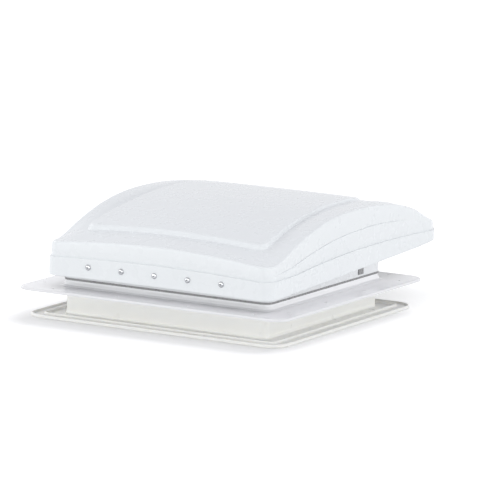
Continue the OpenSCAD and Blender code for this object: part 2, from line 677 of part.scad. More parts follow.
module screen_frame() {
    z = cover_top - cover_t;
    color("#e9e6dc") difference() {
        union() {
            translate([0, 0, z - 2]) cylinder(r = screen_r, h = 2);
            translate([0, 0, z - 4.5]) cylinder(r = screen_r - 4, h = 4.5);
        }
        translate([0, 0, z - 6]) cylinder(r = screen_r - 11, h = 10);
        translate([0, 0, z - 3.2]) cylinder(r = screen_r - 8, h = 1.2);
    }
}

module screen_mesh() {
    z = cover_top - cover_t - 3;
    color("#55595e") intersection() {
        translate([0, 0, z]) cylinder(r = screen_r - 8, h = 0.8);
        translate([0, 0, z]) linear_extrude(0.8) {
            for (i = [-net_n:net_n]) translate([i * net_gap - 0.5, -screen_r]) square([1, 2 * screen_r]);
            for (i = [-net_n:net_n]) translate([-screen_r, i * net_gap - 0.5]) square([2 * screen_r, 1]);
            difference() {
                circle(screen_r - 8);
                circle(screen_r - 10.5);
            }
        }
    }
}

module dial_switch() {
    color("#303236") difference() {
        translate([dial_x - 14, worm_y - 14, cover_top]) cube([28, 28, 20]);
        translate([dial_x, worm_y, cover_top - 1]) cylinder(r = 3 + run_gap, h = 15);
    }
}

module speed_dial() {
    top = cover_top - cover_t - 0.8;
    color("#eceae4") translate([dial_x, worm_y, 0]) difference() {
        union() {
            translate([0, 0, top - 3]) cylinder(r = 16, h = 3);
            translate([0, 0, top - 12]) cylinder(r1 = 11, r2 = 13, h = 10);
            translate([-2, -15, top - 13]) cube([4, 30, 12]);
            translate([0, 0, top - 3]) cylinder(r = 3, h = cover_t + 3.8 + 12);
        }
        translate([-0.6, -14, top - 13.5]) cube([1.2, 8, 1.2]);
    }
}

module rocker_switch() {
    color("#303236") difference() {
        union() {
            translate([dial_x - 13, rocker_y - 9, cover_top]) cube([26, 18, 16]);
            translate([dial_x - 11, rocker_y - 7, cover_top - cover_t]) cube([22, 14, cover_t + 1]);
            translate([dial_x - 13, rocker_y - 9, cover_top - cover_t - 1.5]) cube([26, 18, 1.5]);
        }
        translate([dial_x - 9, rocker_y - 5.5, cover_top - cover_t - 2]) cube([18, 11, 12]);
        translate([dial_x - 12, rocker_y, cover_top + 2]) rotate([0, 90, 0]) cylinder(r = 1.5, h = 24);
    }
}

module in_out_rocker() {
    color("#101113") {
        translate([dial_x - 8.5, rocker_y, cover_top + 2]) rotate([0, 90, 0]) linear_extrude(17)
            difference() {
                circle(8);
                translate([-9, -9]) square([9, 18]);
                translate([-9, 4.2]) square([18, 9]);
                translate([-9, -13.2]) square([18, 9]);
            }
        translate([dial_x - 11.5, rocker_y, cover_top + 2]) rotate([0, 90, 0]) cylinder(r = 1.45, h = 23);
        translate([dial_x - 8.5, rocker_y - 2.5, cover_top - 1]) cube([17, 5, 4.5]);
    }
}

// Turn clip that keeps the screen in place
module screen_clip(a) {
    z = cover_top - cover_t;
    color("#f0ede4") rotate(a) translate([clip_ring, 0, 0]) {
        translate([0, 0, z - 6.8]) linear_extrude(2) {
            circle(5);
            translate([-14, -4]) square([14, 8]);
            translate([-14, 0]) circle(4);
        }
        translate([0, 0, z - 6]) cylinder(r = 4, h = 5.8);
        translate([0, 0, z - 3]) cylinder(r = 2, h = 3 + cover_t + 1);
        translate([0, 0, cover_top + 0.2]) cylinder(r1 = 2.6, r2 = 2, h = 1.2);
        translate([-1, -3.6, z - 9]) cube([2, 7.2, 3]);
    }
}

module screen_clip_a() { screen_clip(clip_angles[0]); }
module screen_clip_b() { screen_clip(clip_angles[1]); }
module screen_clip_c() { screen_clip(clip_angles[2]); }
module screen_clip_d() { screen_clip(clip_angles[3]); }

module garnish() {
    rib = trim_w / 2;
    color("#f3efe4") difference() {
        union() {
            tube_sq(neck_half, 9, neck_in, 6.6, garnish_z - 2, neck_top);
            translate([0, 0, garnish_z - 2.5]) rim_sweep(trim_half, 30) {
                translate([-rib - 2, 0]) square([rib, 2.5]);
                translate([-3.5, 0]) square([2.5, 4]);
                translate([-2.2, 2.2]) circle(2.2);
                translate([-2.2, 4]) circle(1.3);
                translate([-rib, 0]) square([2.4, 5]);
                translate([1.2 - rib, 5]) circle(1.2);
            }
            translate([0, 0, garnish_z - 2.5]) linear_extrude(2.5) plate2d(trim_half - rib + 4, 12);
            rim_sweep(neck_half + 4, 13) polygon([[-6, garnish_z - 1], [0, garnish_z - 1],
                [-3, garnish_z + 1.2], [-4, garnish_z + 5], [-6, garnish_z + 5]]);
        }
        translate([0, 0, garnish_z - 10]) linear_extrude(20) plate2d(neck_in, 6.6);
        for (i = [-1, 1], j = [-1, 1]) {
            translate([i * trim_a, j * trim_off, garnish_z - 5]) cylinder(r = 2.1, h = 10);
            translate([i * trim_off, j * trim_a, garnish_z - 5]) cylinder(r = 2.1, h = 10);
        }
    }
}

mounting_flange();
housing_gasket();
fan_housing();
fan_ring();
side_screws();
side_plugs();
lid_seal();
hinge_base_leaf();
base_leaf_screws();
hinge_pin();
motor_spider();
spider_screws();
motor();
motor_screws();
lift_bracket();
bracket_screws();
pivot_pin();
inner_cover();
cover_screws();
screen_frame();
screen_mesh();
dial_switch();
rocker_switch();
lid_shell();
lid_screws();
hinge_lid_leaf();
lid_frame();
lift_track();
track_screws();
lift_arm();
lift_shoe();
lift_knob();
worm_shaft();
fan_rotor();
fan_shaft();
fan_clip();
speed_dial();
in_out_rocker();
screen_clip_a();
screen_clip_b();
screen_clip_c();
screen_clip_d();
garnish();
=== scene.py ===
"""Looks for a powered caravan roof vent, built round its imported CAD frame."""

import json
import logging
import math
from dataclasses import dataclass, field
from enum import Enum
from typing import Mapping, Optional, Sequence, Union

import bmesh
import bpy
import numpy as np
from mathutils import Matrix, Vector


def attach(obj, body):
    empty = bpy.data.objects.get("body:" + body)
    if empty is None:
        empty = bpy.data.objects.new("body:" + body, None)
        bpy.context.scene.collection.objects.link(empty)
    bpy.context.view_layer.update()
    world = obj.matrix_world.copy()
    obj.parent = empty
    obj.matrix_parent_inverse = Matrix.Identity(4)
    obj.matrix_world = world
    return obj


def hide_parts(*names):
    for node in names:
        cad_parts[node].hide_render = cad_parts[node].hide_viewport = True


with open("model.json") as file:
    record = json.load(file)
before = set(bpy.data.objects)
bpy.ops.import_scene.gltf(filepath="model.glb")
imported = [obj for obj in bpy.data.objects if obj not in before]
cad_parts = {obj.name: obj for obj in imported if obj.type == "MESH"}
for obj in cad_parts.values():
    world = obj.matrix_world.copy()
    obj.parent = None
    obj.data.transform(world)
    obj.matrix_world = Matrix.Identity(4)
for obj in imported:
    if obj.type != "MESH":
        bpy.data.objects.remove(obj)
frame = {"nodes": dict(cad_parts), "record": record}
log = logging.getLogger("roof_vent")

Colour = tuple[float, float, float]
Face = tuple[int, ...]
Key = Union[str, int]
MeshData = tuple[np.ndarray, list[Face]]
Pairs = tuple[tuple[float, float], ...]
ShareRows = tuple[tuple[float, int], ...]
Rows = tuple[tuple[float, float, int], ...]
DropRows = tuple[tuple[float, float, float, int], ...]
Socket = bpy.types.NodeSocket

MM = 0.001
WELD = 1e-7
LEAST_GAP = 1e-4
ORIGIN = (0.0, 0.0, 0.0)
WHITE = (1.0, 1.0, 1.0)


class Body(str, Enum):
    """Names of the CAD bodies that pieces ride on."""

    BASE = "base"
    LID = "lid"
    FAN = "fan"
    GARNISH = "garnish"


class Axis(Enum):
    """Direction that drawn metal runs along, as a stretch of its pattern."""

    X = (0.02, 1.0, 1.0)
    Z = (1.0, 1.0, 0.02)


class ValueStep(Enum):
    """Step that a node takes with two values."""

    LARGER = "MAXIMUM"
    TIMES = "MULTIPLY"


class VectorStep(Enum):
    """Step that a node takes with a vector and a constant one, and the output with its result."""

    ADD = ("ADD", "Vector")
    SIZE = ("ABSOLUTE", "Vector")
    TAKE = ("SUBTRACT", "Vector")
    LARGER = ("MAXIMUM", "Vector")
    LENGTH = ("LENGTH", "Value")
    ALONG = ("DOT_PRODUCT", "Value")


class MixStep(Enum):
    """Way that a node mixes two colours."""

    BETWEEN = "MIX"
    TIMES = "MULTIPLY"


@dataclass(frozen=True)
class Span:
    """Two ends of a range of values."""

    start: float
    end: float


UNIT = Span(0.0, 1.0)
NOISE_SPAN = Span(0.3, 0.7)


@dataclass(frozen=True)
class Grain:
    """Noise pattern with features about 1 / scale metres wide."""

    scale: float
    detail: float


@dataclass(frozen=True)
class RoundedSquare:
    """Square round Z with rounded corners, in metres.

    Its edge fades over a width, and it may lie ahead of Z, towards the front.
    """

    half: float
    corner: float
    fade: float = 0.001
    ahead: float = 0.0


def opaque(colour: Colour) -> tuple[float, ...]:
    """Colour with full alpha."""
    return (*colour, 1.0)


def grey(tone: float) -> tuple[float, ...]:
    """Grey with full alpha."""
    return (tone, tone, tone, 1.0)


class NodeKit:
    """Adds nodes to one node tree, which it empties first."""

    def __init__(self, tree: bpy.types.NodeTree) -> None:
        """Take a tree and empty it."""
        self.tree = tree
        self.tree.nodes.clear()

    def plug(self, target: Socket, value: object) -> None:
        """Lead a socket into an input, or set the input to a constant.

        Args:
            target: the input.
            value: socket or constant.
        """
        if isinstance(value, Socket):
            self.tree.links.new(value, target)
        else:
            target.default_value = value

    def add(self, kind: str, output: Key, inputs: Mapping[Key, object], **options: str) -> Socket:
        """Add one node.

        Args:
            kind: kind of shader node.
            output: name or number of the output that is wanted.
            inputs: socket or constant for each named or numbered input.
            options: settings of the node.

        Returns:
            The output socket.
        """
        node = self.tree.nodes.new("ShaderNode" + kind)
        for option, choice in options.items():
            setattr(node, option, choice)
        for name, value in inputs.items():
            self.plug(node.inputs[name], value)
        return node.outputs[output]

    def end(self, kind: str, shader: Socket) -> None:
        """Add an output node and lead a shader into it."""
        self.plug(self.tree.nodes.new("ShaderNode" + kind).inputs["Surface"], shader)

    def remap(self, source: Socket, to: Span, of: Span = NOISE_SPAN) -> Socket:
        """Value stretched from one range over another."""
        ends = {"From Min": of.start, "From Max": of.end, "To Min": to.start, "To Max": to.end}
        return self.add("MapRange", "Result", {"Value": source, **ends})

    def pair(self, step: ValueStep, first: Socket, second: Socket) -> Socket:
        """Result of a step with two values."""
        return self.add("Math", "Value", {0: first, 1: second}, operation=step.value)

    def vector(self, step: VectorStep, source: Socket, constant: Sequence[float] = ORIGIN) -> Socket:
        """Result of a step with a vector and a constant one."""
        operation, output = step.value
        return self.add("VectorMath", output, {0: source, 1: constant}, operation=operation)

    def background(self, tint: Colour, strength: object) -> Socket:
        """Light of one colour from all round, its strength a socket or a constant."""
        return self.add("Background", "Background", {"Color": opaque(tint), "Strength": strength})

    def seen(self) -> Socket:
        """1 for rays that show the background: camera, glossy and transmission rays.

        Returns:
            The value socket.
        """
        path = self.tree.nodes.new("ShaderNodeLightPath").outputs
        direct = self.pair(ValueStep.LARGER, path["Is Camera Ray"], path["Is Glossy Ray"])
        return self.pair(ValueStep.LARGER, direct, path["Is Transmission Ray"])


class NodeBoard(NodeKit):
    """Node tree of one new material, round one principled shader.

    A mix node has sockets for each type of value, so those for colours are named by number.
    """

    mix_factor: int = 0
    mix_first: int = 6
    mix_second: int = 7
    mix_result: int = 2

    def __init__(self, name: str) -> None:
        """Make the material and its shader.

        Args:
            name: name of the material.
        """
        self.material = bpy.data.materials.new(name)
        self.material.use_nodes = True
        super().__init__(self.material.node_tree)
        self.shader = self.tree.nodes.new("ShaderNodeBsdfPrincipled")
        self.end("OutputMaterial", self.shader.outputs["BSDF"])
        self.coords = self.add("TexCoord", "Object", {})

    def put(self, name: str, value: object) -> None:
        """Lead a socket into one input of the shader, or set it to a constant."""
        self.plug(self.shader.inputs[name], value)

    def stretched(self, scale: Sequence[float]) -> Socket:
        """Object coordinates stretched by a factor for each of X, Y and Z."""
        return self.add("Mapping", "Vector", {"Scale": scale, "Vector": self.coords})

    def noise(self, grain: Grain, vector: Optional[Socket] = None) -> Socket:
        """Noise over the object's own or other coordinates."""
        inputs = {"Scale": grain.scale, "Detail": grain.detail, "Vector": vector or self.coords}
        return self.add("TexNoise", "Fac", inputs)

    def mix(self, step: MixStep, factor: Socket, first: object, second: Sequence[float]) -> Socket:
        """First colour, a socket or a constant, changed by a second one as far as a factor says."""
        inputs = {self.mix_factor: factor, self.mix_first: first, self.mix_second: second}
        return self.add("Mix", self.mix_result, inputs, data_type="RGBA", blend_type=step.value)

    def outside(self, square: RoundedSquare) -> Socket:
        """1 outside a rounded square, 0 inside it, at any height.

        Args:
            square: the square.

        Returns:
            The value socket.
        """
        straight = square.half - square.corner
        past = self.vector(VectorStep.ADD, self.coords, (0.0, square.ahead, 0.0))
        past = self.vector(VectorStep.SIZE, past)
        past = self.vector(VectorStep.TAKE, past, (straight, straight, 1.0))
        past = self.vector(VectorStep.LARGER, past)
        away = self.vector(VectorStep.LENGTH, past)
        return self.remap(away, UNIT, Span(square.corner, square.corner + square.fade))

    def bump(self, height: Socket, depth: float, before: Optional[Socket] = None) -> Socket:
        """Normal bumped by a height map, depth metres high, on an earlier normal if there is one."""
        earlier = {} if before is None else {"Normal": before}
        return self.add("Bump", "Normal", {"Strength": 1.0, "Distance": depth, "Height": height, **earlier})


@dataclass(frozen=True)
class Finish:
    """Name of a finish, which is its slot in the record, and the two colours that it wanders between."""

    name: str
    colour: Colour
    shade: Colour

    def tone(self, board: NodeBoard, grain: Grain) -> Socket:
        """Colour that wanders between the two colours in a pattern."""
        share = board.remap(board.noise(grain), UNIT)
        return board.mix(MixStep.BETWEEN, share, opaque(self.colour), opaque(self.shade))

    def material(self) -> bpy.types.Material:
        """Build the node material."""
        raise NotImplementedError


@dataclass(frozen=True)
class MouldedPlastic(Finish):
    """Injection moulded plastic with a faint peel, slow waves, a slight change of tone and maybe a painted
    shade on its rim.
    """

    roughness: float = 0.2
    spread: float = 0.05
    peel: Grain = Grain(700.0, 1.0)
    peel_depth: float = 0.000005
    wave_depth: float = 0.0001
    gloss: float = 0.5
    glow: float = 0.0
    # Outside the rim square the colour is multiplied by the rim's tone: a painted shade that dims the outer
    # edge.
    rim: Optional[RoundedSquare] = None
    rim_painted_shade: float = 1.0
    clouds: Grain = Grain(9.0, 3.0)
    wear: Grain = Grain(45.0, 4.0)
    waves: Grain = Grain(16.0, 0.0)
    refraction: float = 1.5
    glow_reach: Colour = (0.012, 0.010, 0.007)

    def material(self) -> bpy.types.Material:
        """Build the node material.

        Returns:
            The material.
        """
        board = NodeBoard(self.name)
        colour = self.tone(board, self.clouds)
        # Painted shade: the colour is darkened outside the rim square.
        if self.rim is not None:
            colour = board.mix(MixStep.TIMES, board.outside(self.rim), colour, grey(self.rim_painted_shade))
        board.put("Base Color", colour)
        rough = Span(self.roughness - self.spread, self.roughness + self.spread)
        board.put("Roughness", board.remap(board.noise(self.wear), rough))
        waves = board.bump(board.noise(self.waves), self.wave_depth)
        board.put("Normal", board.bump(board.noise(self.peel), self.peel_depth, waves))
        board.put("IOR", self.refraction)
        board.put("Specular IOR Level", self.gloss)
        if self.glow > 0.0:
            board.put("Subsurface Weight", self.glow)
            board.put("Subsurface Radius", self.glow_reach)
            board.put("Subsurface Scale", 1.0)
        return board.material


@dataclass(frozen=True)
class WorkedMetal(Finish):
    """Bare or plated metal with fine draw lines."""

    roughness: float = 0.28
    along: Axis = Axis.X
    smoother: float = 0.07
    rougher: float = 0.09
    clouds: Grain = Grain(60.0, 3.0)
    lines: Grain = Grain(900.0, 3.0)
    line_depth: float = 0.000012

    def material(self) -> bpy.types.Material:
        """Build the node material.

        Returns:
            The material.
        """
        board = NodeBoard(self.name)
        lines = board.noise(self.lines, board.stretched(self.along.value))
        board.put("Base Color", self.tone(board, self.clouds))
        rough = Span(self.roughness - self.smoother, self.roughness + self.rougher)
        board.put("Roughness", board.remap(lines, rough))
        board.put("Normal", board.bump(lines, self.line_depth))
        board.put("Metallic", 1.0)
        return board.material


@dataclass(frozen=True)
class FineSkin(Finish):
    """Speckled surface with a fine grain in its skin."""

    roughness: float = 0.38
    smoother: float = 0.06
    rougher: float = 0.08
    gloss: float = 0.5
    metal: float = 0.25
    speckle: Grain = Grain(500.0, 3.0)
    wear: Grain = Grain(90.0, 3.0)
    skin: Grain = Grain(1100.0, 2.0)
    skin_depth: float = 0.00003

    def material(self) -> bpy.types.Material:
        """Build the node material.

        Returns:
            The material.
        """
        board = NodeBoard(self.name)
        board.put("Base Color", self.tone(board, self.speckle))
        rough = Span(self.roughness - self.smoother, self.roughness + self.rougher)
        board.put("Roughness", board.remap(board.noise(self.wear), rough))
        board.put("Normal", board.bump(board.noise(self.skin), self.skin_depth))
        board.put("Specular IOR Level", self.gloss)
        board.put("Metallic", self.metal)
        return board.material


@dataclass(frozen=True)
class PaintedMetal(FineSkin):
    """Sheet or wire under a thin coat of paint."""


@dataclass(frozen=True)
class SoftRubber(FineSkin):
    """Dark cellular rubber."""

    roughness: float = 0.3
    smoother: float = 0.08
    gloss: float = 0.9
    metal: float = 0.0
    speckle: Grain = Grain(120.0, 4.0)
    wear: Grain = Grain(300.0, 2.0)
    skin: Grain = Grain(1600.0, 3.0)


FINISHES: tuple[Finish, ...] = (
    MouldedPlastic("lid_white", (0.730, 0.750, 0.768), (0.724, 0.744, 0.763), 0.28, 0.03,
                   peel_depth=0.0, wave_depth=0.00005, gloss=0.25),
    # The flange's outer edge gets a painted shade, 17 % darker than the rest.
    MouldedPlastic("flange_white", (0.865, 0.862, 0.884), (0.855, 0.852, 0.874), 0.16, 0.03,
                   gloss=0.3, rim=RoundedSquare(0.2225, 0.0225), rim_painted_shade=0.83),
    MouldedPlastic("housing_white", (0.75, 0.76, 0.78), (0.74, 0.75, 0.77), 0.26, 0.05),
    # The garnish's outer edge gets a painted shade, 8 % darker than the rest.
    MouldedPlastic("garnish_ivory", (0.885, 0.88, 0.856), (0.872, 0.867, 0.84), 0.33, 0.06,
                   peel=Grain(1500.0, 1.0), peel_depth=0.00004, glow=0.12, gloss=0.3,
                   rim=RoundedSquare(0.2085, 0.0235), rim_painted_shade=0.92),
    MouldedPlastic("control_white", (0.78, 0.77, 0.73), (0.76, 0.75, 0.71), 0.36, 0.06,
                   peel=Grain(1800.0, 1.0), peel_depth=0.00005),
    MouldedPlastic("black_plastic", (0.028, 0.030, 0.033), (0.020, 0.021, 0.023), 0.42, 0.08,
                   peel=Grain(1600.0, 1.0), peel_depth=0.00006),
    MouldedPlastic("lift_nylon", (0.74, 0.73, 0.68), (0.71, 0.70, 0.64), 0.40, 0.06, glow=0.1),
    SoftRubber("rubber_black", (0.19, 0.19, 0.195), (0.225, 0.225, 0.23)),
    WorkedMetal("zinc_steel", (0.52, 0.53, 0.55), (0.42, 0.43, 0.45), 0.16, Axis.Z),
    WorkedMetal("hinge_alloy", (0.66, 0.67, 0.69), (0.58, 0.59, 0.61), 0.34, Axis.X),
    PaintedMetal("motor_grey", (0.24, 0.25, 0.27), (0.20, 0.21, 0.23)),
    PaintedMetal("screen_grey", (0.13, 0.14, 0.15), (0.10, 0.11, 0.12), 0.45),
)


@dataclass
class Palette:
    """Materials of the vent by the record's slot names."""

    made: dict[str, bpy.types.Material] = field(default_factory=dict)

    def build(self) -> None:
        """Make each finish's material and put it on the CAD nodes that have its slot."""
        for finish in FINISHES:
            self.made[finish.name] = finish.material()
        parts = frame["record"]["subparts"]
        for part in parts:
            materials = frame["nodes"][part["node"]].data.materials
            materials.clear()
            materials.append(self.made[part["material_slot"]])
        log.info("dressed %d nodes in %d finishes", len(parts), len(self.made))


def ring_faces(count: int, rings: int) -> list[Face]:
    """Quads between neighbouring closed rings of points.

    Args:
        count: points in each ring.
        rings: number of rings.

    Returns:
        Faces as point numbers.
    """
    faces: list[Face] = []
    for low in range(0, count * (rings - 1), count):
        high = low + count
        for i in range(count):
            j = (i + 1) % count
            faces.append((low + i, low + j, high + j, high + i))
    return faces


def round_ring(radius: Union[float, np.ndarray], height: float, count: int) -> np.ndarray:
    """Ring of points round Z, with one radius or with one for each point."""
    angles = 2 * math.pi * np.arange(count) / count
    return np.column_stack([radius * np.cos(angles), radius * np.sin(angles), np.full(count, height)])


def lathe(profile: Sequence[tuple[float, float]], count: int) -> MeshData:
    """Closed profile of radius and height, turned round Z."""
    rings = [round_ring(radius, height, count) for radius, height in (*profile, profile[0])]
    return np.concatenate(rings), ring_faces(count, len(rings))


def tube(rings: Sequence[np.ndarray]) -> MeshData:
    """Tube through rings of points, with a flat face at each end.

    Args:
        rings: rings with the same number of points.

    Returns:
        Points and faces.
    """
    count = len(rings[0])
    end = count * (len(rings) - 1)
    caps: list[Face] = [tuple(range(count)), tuple(range(end, end + count))]
    return np.concatenate(rings), ring_faces(count, len(rings)) + caps


def bar(low: Sequence[float], high: Sequence[float]) -> MeshData:
    """Box between its lowest and its highest corner."""
    (x0, y0, z0), (x1, y1, z1) = low, high
    return tube([np.array([(x, y0, z0), (x, y1, z0), (x, y1, z1), (x, y0, z1)]) for x in (x0, x1)])


def turned(points: np.ndarray, degrees: float) -> np.ndarray:
    """Points turned round Z.

    Args:
        points: array of points.
        degrees: angle of the turn.

    Returns:
        The turned points.
    """
    angle = math.radians(degrees)
    x, y, z = points.T
    return np.column_stack([x * math.cos(angle) - y * math.sin(angle),
                            x * math.sin(angle) + y * math.cos(angle), z])


def outward(turn: float, height: float) -> Vector:
    """Direction to a place, by its turn round Z from the front and its height, in degrees."""
    az, el = math.radians(turn), math.radians(height)
    return Vector((math.sin(az) * math.cos(el), -math.cos(az) * math.cos(el), math.sin(el)))


def on_line(now: np.ndarray, start: np.ndarray, end: np.ndarray, first: np.ndarray,
            last: np.ndarray) -> np.ndarray:
    """Points at now on straight lines from the first points at start to the last ones at end."""
    return ((end - now) * first + (now - start) * last) / (end - start)


def spline_rings(keys: np.ndarray, steps: Sequence[int]) -> np.ndarray:
    """Run centripetal splines through matching points of key rings.

    Args:
        keys: array of rings, points and coordinates.
        steps: pieces that each span is cut into.

    Returns:
        The denser array of rings.
    """
    first = 2 * keys[0] - keys[1]
    last = 2 * keys[-1] - keys[-2]
    p = np.concatenate([first[None], keys, last[None]])
    gaps = np.maximum(np.sqrt(np.linalg.norm(np.diff(p, axis=0), axis=2)), LEAST_GAP)
    t = np.concatenate([np.zeros((1, p.shape[1])), np.cumsum(gaps, axis=0)])[..., None]
    rows = []
    for k in range(1, len(p) - 2):
        for s in range(steps[k - 1]):
            now = t[k] + (t[k + 1] - t[k]) * s / steps[k - 1]
            a1, a2, a3 = (on_line(now, t[i], t[i + 1], p[i], p[i + 1]) for i in (k - 1, k, k + 1))
            b1 = on_line(now, t[k - 1], t[k + 1], a1, a2)
            b2 = on_line(now, t[k], t[k + 2], a2, a3)
            rows.append(on_line(now, t[k], t[k + 1], b1, b2))
    rows.append(p[-2])
    return np.array(rows)


@dataclass
class MeshStock:
    """Points in millimetres and faces, gathered for one piece."""

    points: list[np.ndarray] = field(default_factory=list)
    faces: list[Face] = field(default_factory=list)

    def add(self, points: np.ndarray, faces: Sequence[Face]) -> None:
        """Add one mesh.

        Args:
            points: its points.
            faces: its faces, numbered from its own first point.
        """
        start = sum(len(part) for part in self.points)
        self.points.append(points)
        self.faces.extend(tuple(i + start for i in face) for face in faces)


@dataclass
class MeshMaker:
    """Turns gathered meshes into pieces that ride on a body."""

    palette: Palette

    def piece(self, name: str, stock: MeshStock, slot: str, body: Body, stands_for: Sequence[str],
              smooth_angle: float) -> None:
        """Make one object.

        Args:
            name: name of the new piece.
            stock: its points and faces.
            slot: material slot of the record.
            body: CAD body it moves with.
            stands_for: CAD nodes it replaces.
            smooth_angle: edges sharper than this stay sharp, in degrees.
        """
        mesh = bpy.data.meshes.new(name)
        mesh.from_pydata((np.concatenate(stock.points) * MM).tolist(), [], stock.faces)
        work = bmesh.new()
        work.from_mesh(mesh)
        bmesh.ops.remove_doubles(work, verts=work.verts, dist=WELD)
        bmesh.ops.recalc_face_normals(work, faces=work.faces)
        work.to_mesh(mesh)
        work.free()
        mesh.polygons.foreach_set("use_smooth", [True] * len(mesh.polygons))
        mesh.set_sharp_from_angle(angle=math.radians(smooth_angle))
        mesh.materials.append(self.palette.made[slot])
        obj = bpy.data.objects.new(name, mesh)
        bpy.context.scene.collection.objects.link(obj)
        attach(obj, body.value)
        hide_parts(*stands_for)
        log.info("%s: %d points, %d faces", name, len(mesh.vertices), len(mesh.polygons))


@dataclass(frozen=True)
class Ramp:
    """Straight change from 0 to 1 along Y. With a negative length it runs to the front."""

    start: float
    length: float

    def at(self, y: np.ndarray) -> np.ndarray:
        """Value at y, held at 0 and 1 past the ends."""
        return np.clip((y - self.start) / self.length, 0, 1)


@dataclass(frozen=True)
class Climb:
    """Rise along Y that starts softly and levels off at its height."""

    height: float
    start: float
    length: float
    softness: float = 0.004
    power: float = 2.2

    def at(self, y: np.ndarray) -> np.ndarray:
        """Height gained at y.

        Args:
            y: places along the lid.

        Returns:
            The heights.
        """
        t = (y - self.start) / self.length
        soft = (t + np.sqrt(t * t + self.softness)) / 2
        return self.height * (1 - (1 - np.minimum(1, soft)) ** self.power)


@dataclass(frozen=True)
class Curve:
    """Change of height along Y that grows with a power past its start."""

    amount: float
    start: float
    length: float
    power: float

    def at(self, y: np.ndarray) -> np.ndarray:
        """Change of height at y."""
        return self.amount * (np.maximum(0, y - self.start) / self.length) ** self.power


